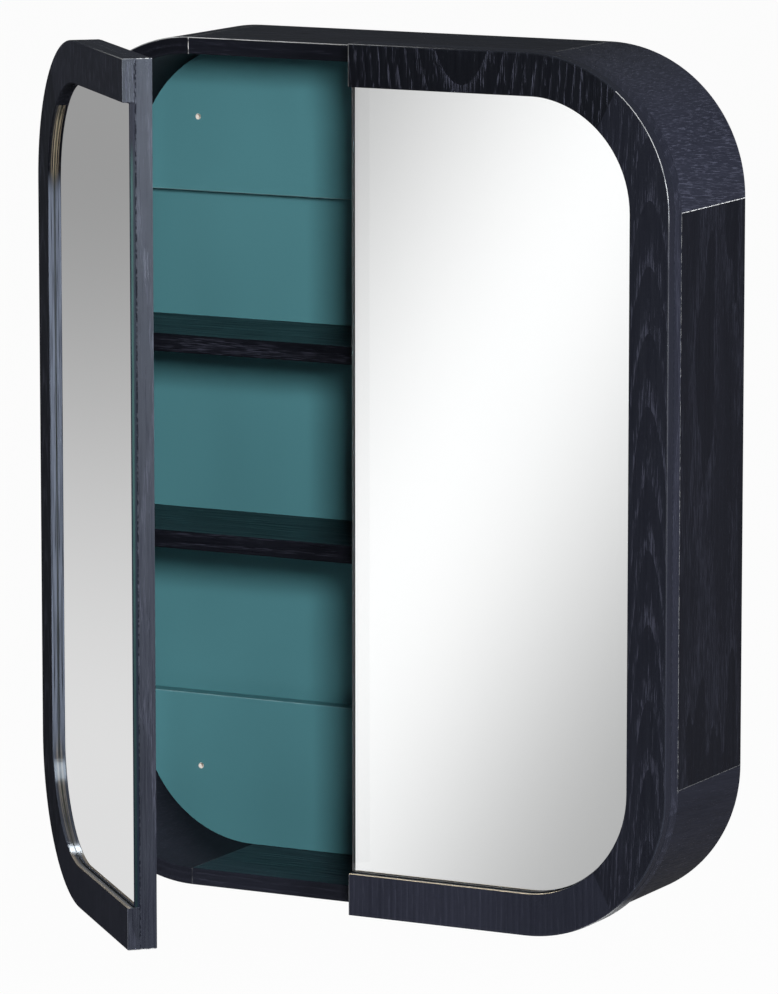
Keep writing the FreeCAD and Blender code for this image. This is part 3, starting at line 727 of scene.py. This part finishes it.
def pane_mesh(name, way):
    """Closed pane: the outline carried back from the seam, down the edge to the silvered back.

    The left pane is the right one mirrored, then swung open about the left door's pins.
    """
    rings = ((seam, glass_front_y), (0.0, glass_front_y + seam), (0.0, glass_back_y))
    outlines = [pane_outline(inset) for inset, _ in rings]
    points = np.vstack([
        np.column_stack([flat[:, 0], np.full(len(flat), depth), flat[:, 1]])
        for flat, (_, depth) in zip(outlines, rings)
    ])
    points[:, 0] *= way
    if way < 0:
        pin = np.array(left_pin[:2])
        swing = np.array([[math.cos(open_angle), -math.sin(open_angle)],
                          [math.sin(open_angle), math.cos(open_angle)]])
        points[:, :2] = (points[:, :2] - pin) @ swing + pin
    count = len(outlines[0])
    first = np.arange(count)
    after = np.roll(first, -1)
    band = np.column_stack([first + count, after + count, after, first])
    bands = np.vstack([band, band + count])[:, ::way]
    back = first[::-way] + 2 * count
    faces = [first[::way].tolist()] + bands.tolist() + [back.tolist()]
    mesh = bpy.data.meshes.new(name)
    mesh.from_pydata(points.tolist(), [], faces)
    slots = np.ones(len(faces), dtype=np.int32)
    slots[0] = 0
    slots[-1] = 2
    mesh.polygons.foreach_set("material_index", slots)
    mesh.update()
    return mesh


def clear_glass():
    """Clear float glass with a faint smear."""
    material, tree = start_finish("clear_glass")
    smear = noise(tree, own_place(tree), (9, 9, 5), 3.0)
    colour = tint(tree, smear, (0.985, 0.992, 0.99, 1.0), (0.97, 0.98, 0.98, 1.0))
    sockets = {"Base Color": colour, "Roughness": 0.0, "IOR": 1.5, "Transmission Weight": 1.0}
    end_finish(tree, sockets)
    return material


def ground_edge(side):
    """The green of thick glass, with the streaks of a grinding belt and dark lines along both seams.

    It is painted lighter above and darker towards the foot, as its sheen falls, and darkest just under the
    top rail, a painted shadow of the rail.
    """
    material, tree = start_finish(side + "ground_glass_edge")
    place = shut_place(tree, side)
    _, y, z = put(tree, "SeparateXYZ", {0: place}).outputs
    streak = noise(tree, place, (900, 900, 40), 3.0)
    colour = tint(tree, streak, edge_deep, edge_green)
    # Painted sheen and shade: lighter above, darker towards the foot, and a painted shadow under the top rail.
    colour = tint(tree, rise(tree, z, 0.1, -0.35), colour, edge_foot_shade)
    rail_shadow = rise(tree, z, pane_half_height - 0.0586, pane_half_height - 0.0286)
    colour = tint(tree, rail_shadow, colour, edge_rail_shadow)
    fore = near(tree, y, glass_front_y, 0.0016)
    aft = near(tree, y, glass_back_y, 0.0028)
    colour = tint(tree, times(tree, reckon(tree, "MAXIMUM", fore, aft), 0.9), colour, edge_seam)
    rough = reckon(tree, "MULTIPLY_ADD", streak, 0.2, 0.24)
    sockets = {"Base Color": colour, "Roughness": rough, "Specular IOR Level": 0.08}
    end_finish(tree, sockets, streak, 0.00003)
    return material


def silvering():
    """Silver film, faintly cloudy, as bright as a household mirror."""
    material, tree = start_finish("mirror_silver")
    clouds = noise(tree, own_place(tree), (6, 6, 6), 2.0)
    colour = tint(tree, clouds, (0.945, 0.945, 0.945, 1.0), (0.93, 0.932, 0.935, 1.0))
    end_finish(tree, {"Base Color": colour, "Metallic": 1.0, "Roughness": 0.0})
    return material


silver = silvering()
pane_faces = {"left_": silver, "right_": clear_glass()}
for side, way in ways.items():
    pane = bpy.data.objects.new(side + "mirror_pane", pane_mesh(side + "mirror_pane", way))
    bpy.context.scene.collection.objects.link(pane)
    for material in (pane_faces[side], ground_edge(side), silver):
        pane.data.materials.append(material)
    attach(pane, side + "door")
    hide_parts(side + "mirror")

# The shut mirror shows only the studio: light that comes out of its glass passes the open door by.
left_door_nodes = frame["record"]["behaviour"]["bodies"]["left_door"]
left_door_pieces = [frame["nodes"][node] for node in left_door_nodes]
left_door_pieces.append(bpy.data.objects["left_mirror_pane"])
for piece in left_door_pieces:
    piece.visible_transmission = False


# Door bumpers
# Soft clear buttons stuck to the door backs, which meet the carcass edge.
def bumper_finish():
    """Clear rubber, slightly hazy."""
    material, tree = start_finish("soft_bumper")
    haze = noise(tree, own_place(tree), (300, 300, 300), 3.0)
    colour = tint(tree, haze, chip(214, 216, 214), chip(192, 195, 194))
    rough = reckon(tree, "MULTIPLY_ADD", haze, 0.2, 0.25)
    end_finish(tree, {"Base Color": colour, "Roughness": rough}, haze, 0.00005)
    return material


wear([side + "door_bumpers" for side in sides], bumper_finish())

# Studio
# A pale floor below the hung cabinet, soft boxes round it and an even sky. The sky is white to the camera,
# shades softly from grey to white in the mirrors, and is dimmer in the sheen of the wood.
floor_z = -1.35
floor_reach = 40.0
floor_grey = (0.45, 0.45, 0.45, 1.0)
floor_glow_share = 0.92
white = (1.0, 1.0, 1.0, 1.0)
floor_mesh = bpy.data.meshes.new("floor")
floor_corners = np.array([(-1, -1), (1, -1), (1, 1), (-1, 1)]) * floor_reach
floor_mesh.from_pydata([(x, y, floor_z) for x, y in floor_corners], [], [(0, 1, 2, 3)])
floor = bpy.data.objects.new("floor", floor_mesh)
bpy.context.scene.collection.objects.link(floor)
floor.visible_glossy = False
floor.visible_transmission = False
floor_material, tree = start_finish("pale_floor")
seen = put(tree, "LightPath").outputs["Is Camera Ray"]
matt = put(tree, "BsdfDiffuse", {"Color": floor_grey}).outputs[0]
glow = put(tree, "Emission", {"Color": white, "Strength": 1.05}).outputs[0]
both = put(tree, "MixShader", {0: times(tree, seen, floor_glow_share), 1: matt, 2: glow})
put(tree, "OutputMaterial", {"Surface": both.outputs[0]})
floor_mesh.materials.append(floor_material)

view_turn = math.radians(27.541)
view_drop = math.radians(9.188)
view_distance = 5.937
view_right = Vector((math.cos(view_turn), math.sin(view_turn), 0))
view_ahead = Vector((
    -math.sin(view_turn) * math.cos(view_drop),
    math.cos(view_turn) * math.cos(view_drop),
    -math.sin(view_drop),
))
view_up = view_right.cross(view_ahead)

sky = bpy.data.worlds.new("studio_sky")
bpy.context.scene.world = sky
sky.use_nodes = True
tree = sky.node_tree
tree.nodes.clear()
towards = put(tree, "TexCoord").outputs["Generated"]
_, sky_y, sky_z = put(tree, "SeparateXYZ", {0: towards}).outputs

# In front of the cabinet the mirrors' sky is a cosine of the way along a slanting line, which the shut
# mirror turns into a slanting band. Behind, where the open mirror looks, it lightens downwards.
shut_mirror = Vector((1, -1, 1))
band_right = 0.873
band_down = 0.488
band_start = 0.0053
band_half = 0.0536
band_middle = 0.78
band_swing = 0.30
rear_high = 0.33
rear_low = 0.76
band_way = (view_right * band_right - view_up * band_down) * shut_mirror
along_band = put(tree, "VectorMath", {0: towards, 1: band_way}, operation="DOT_PRODUCT").outputs["Value"]
phase = times(tree, reckon(tree, "SUBTRACT", along_band, band_start), math.pi / band_half)
front_sky = reckon(tree, "MULTIPLY_ADD", reckon(tree, "COSINE", phase), band_swing, band_middle)
rear_sky = share_mix(tree, rise(tree, sky_z, -0.108, -0.2), rear_high, rear_low)
rear = rise(tree, sky_y, -0.1, 0.1)
mirror_sky = share_mix(tree, rear, front_sky, rear_sky)

# The wood's sheen sees a dim sky, brighter overhead, violet below and blue above.
sheen_front = 0.13
sheen_rear = 0.155
sheen_overhead = 0.6
sheen_violet = (0.98, 0.95, 1.0, 1.0)
sheen_blue = (0.87, 0.93, 1.06, 1.0)
sheen_low = share_mix(tree, rear, sheen_front, times(tree, rear_sky, sheen_rear))
sheen_sky = reckon(tree, "MULTIPLY_ADD", rise(tree, sky_z, 0.35, 0.9), sheen_overhead, sheen_low)
paths = put(tree, "LightPath").outputs
room_level = 0.12
mirrored = reckon(tree, "MAXIMUM", paths["Is Transmission Ray"], paths["Is Singular Ray"])
level = share_mix(tree, paths["Is Glossy Ray"], room_level, sheen_sky)
level = share_mix(tree, mirrored, level, mirror_sky)
level = share_mix(tree, paths["Is Camera Ray"], level, 1.0)
sheen_colour = tint(tree, rise(tree, sky_z, -0.1, 0.1), sheen_violet, sheen_blue)
sky_colour = tint(tree, paths["Is Glossy Ray"], white, sheen_colour)
sky_colour = tint(tree, mirrored, sky_colour, white)
backdrop = put(tree, "Background", {"Color": sky_colour, "Strength": level})
put(tree, "OutputWorld", {"Surface": backdrop.outputs[0]})


# The key lights the inside, and the edge box the open door's edge. The two strips only draw a line of
# sheen on the bends and on top. The fill and the back box soften the shadows.
lamp_white = (1.0, 1.0, 1.0)
lamp_cool = (0.93, 0.96, 1.0)
lamp_blue = (0.92, 0.97, 1.0)


def soft_box(name, place, width, height, power, colour, shines=True, lights=True):
    """Lamp that faces the middle of the cabinet. It may be left out of the sheen, or give only sheen."""
    lamp = bpy.data.lights.new(name, "AREA")
    lamp.shape = "RECTANGLE"
    lamp.size = width
    lamp.size_y = height
    lamp.energy = power
    lamp.color = colour
    box = bpy.data.objects.new(name, lamp)
    bpy.context.scene.collection.objects.link(box)
    box.location = place
    box.rotation_euler = (-Vector(place)).to_track_quat("-Z", "Y").to_euler()
    box.visible_camera = False
    box.visible_transmission = False
    box.visible_glossy = shines
    box.visible_diffuse = lights


soft_box("key_box", (2.091, -3.220, 1.123), 0.68, 0.68, 173.0, lamp_white, shines=False)
soft_box("edge_box", (2.148, -1.0, 0.3), 0.55, 0.9, 126.0, lamp_cool)
soft_box("bend_strip", (0.95, -2.34, 0.72), 0.15, 0.9, 26.0, lamp_blue, lights=False)
soft_box("top_strip", (-1.62, 0.31, 1.93), 0.2, 0.7, 26.0, lamp_blue, lights=False)
soft_box("fill_box", (-2.7, -1.27, 0.3), 1.5, 1.5, 86.0, lamp_white, shines=False)
soft_box("back_box", (-1.6, 2.4, 1.2), 2.0, 2.0, 60.0, lamp_white, shines=False)

# Camera
# A long lens to the right of the cabinet and a little above its middle, as in the photograph.
photo_height = 994
lens_in_pixels = 6712.65
view_slide_right = -0.03886
view_slide_up = -0.0342
camera_data = bpy.data.cameras.new("camera")
camera_data.sensor_width = 36.0
camera_data.lens = lens_in_pixels * camera_data.sensor_width / photo_height
camera_data.clip_end = 100.0
camera = bpy.data.objects.new("camera", camera_data)
bpy.context.scene.collection.objects.link(camera)
camera.location = view_right * view_slide_right + view_up * view_slide_up - view_ahead * view_distance
camera.rotation_euler = view_ahead.to_track_quat("-Z", "Y").to_euler()
bpy.context.scene.camera = camera
bpy.context.scene.view_settings.view_transform = "Standard"
